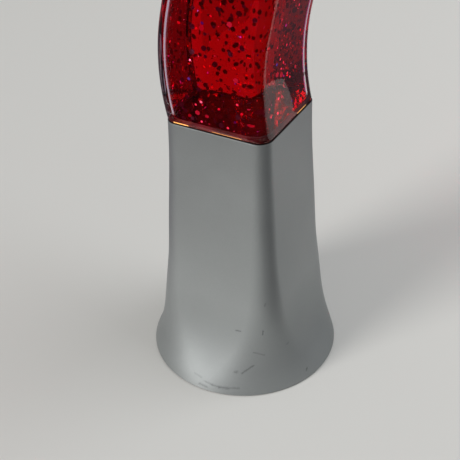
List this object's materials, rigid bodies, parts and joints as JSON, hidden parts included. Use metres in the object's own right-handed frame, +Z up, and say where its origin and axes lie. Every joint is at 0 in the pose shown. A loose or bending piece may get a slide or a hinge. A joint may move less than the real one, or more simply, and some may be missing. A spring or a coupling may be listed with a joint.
{
  "type": "glitter lamp",
  "caption": "Table lamp with a silver base that turns from round to square, and a clear S-curved bottle of red liquid and glitter lit from below.",
  "frame": {"origin": "on the table plane under the middle of the round foot", "axes": "+Z up; +X to the right along the flat front face, and the bottle's S bends along X; +Y to the rear, where the lead leaves"},
  "size_m": [0.1112, 0.111, 0.3788],
  "materials": {
    "silver_paint": "satin silver-grey metallic paint",
    "black_plastic": "matt moulded",
    "zinc_steel": "zinc plated",
    "black_rubber": "matt",
    "brass": "plain",
    "white_ceramic": "unglazed",
    "dark_glass": "fused",
    "bulb_glass": "clear, polished",
    "clear_acrylic": "clear, polished",
    "red_liquid": "clear red liquid",
    "glitter_foil": "mirror foil"
  },
  "bodies": {
    "base": {"base_shell": "silver_paint", "base_plate": "black_plastic", "base_screws": "zinc_steel", "rubber_feet": "black_rubber", "cord_grommet": "black_rubber", "holder_bracket": "zinc_steel", "bracket_rivets": "zinc_steel", "holder_nipple": "brass", "holder_nut": "brass", "holder_cap": "black_plastic", "holder_barrel": "black_plastic", "holder_core": "white_ceramic", "holder_screw_shell": "brass", "holder_centre_contact": "brass", "terminal_screws": "brass"},
    "bulb": {"bulb_tip": "zinc_steel", "bulb_insulator": "dark_glass", "bulb_cap": "brass", "bulb_glass": "bulb_glass", "bulb_stem": "bulb_glass", "bulb_lead_wires": "zinc_steel", "bulb_filament": "zinc_steel"},
    "bottle": {"bottle_tube": "clear_acrylic", "bottle_floor": "clear_acrylic", "bottle_lid": "clear_acrylic", "filler_plug": "black_plastic", "filler_seal": "black_rubber", "red_liquid": "red_liquid", "glitter_flakes": "glitter_foil"},
    "cap": {"top_cap": "silver_paint"}
  },
  "joints": [
    {"name": "bottle_lift", "type": "slide", "parent": "base", "child": "bottle", "axis": [0, 0, 1], "range_m": [0, 0.08]},
    {"name": "cap_lift", "type": "slide", "parent": "bottle", "child": "cap", "axis": [0, 0, 1], "range_m": [0, 0.05]},
    {"name": "bulb_turn", "type": "hinge", "parent": "base", "child": "bulb", "pos_m": [0, 0, 0.08], "axis": [0, 0, 1], "range_deg": [0, 1440]}
  ]
}
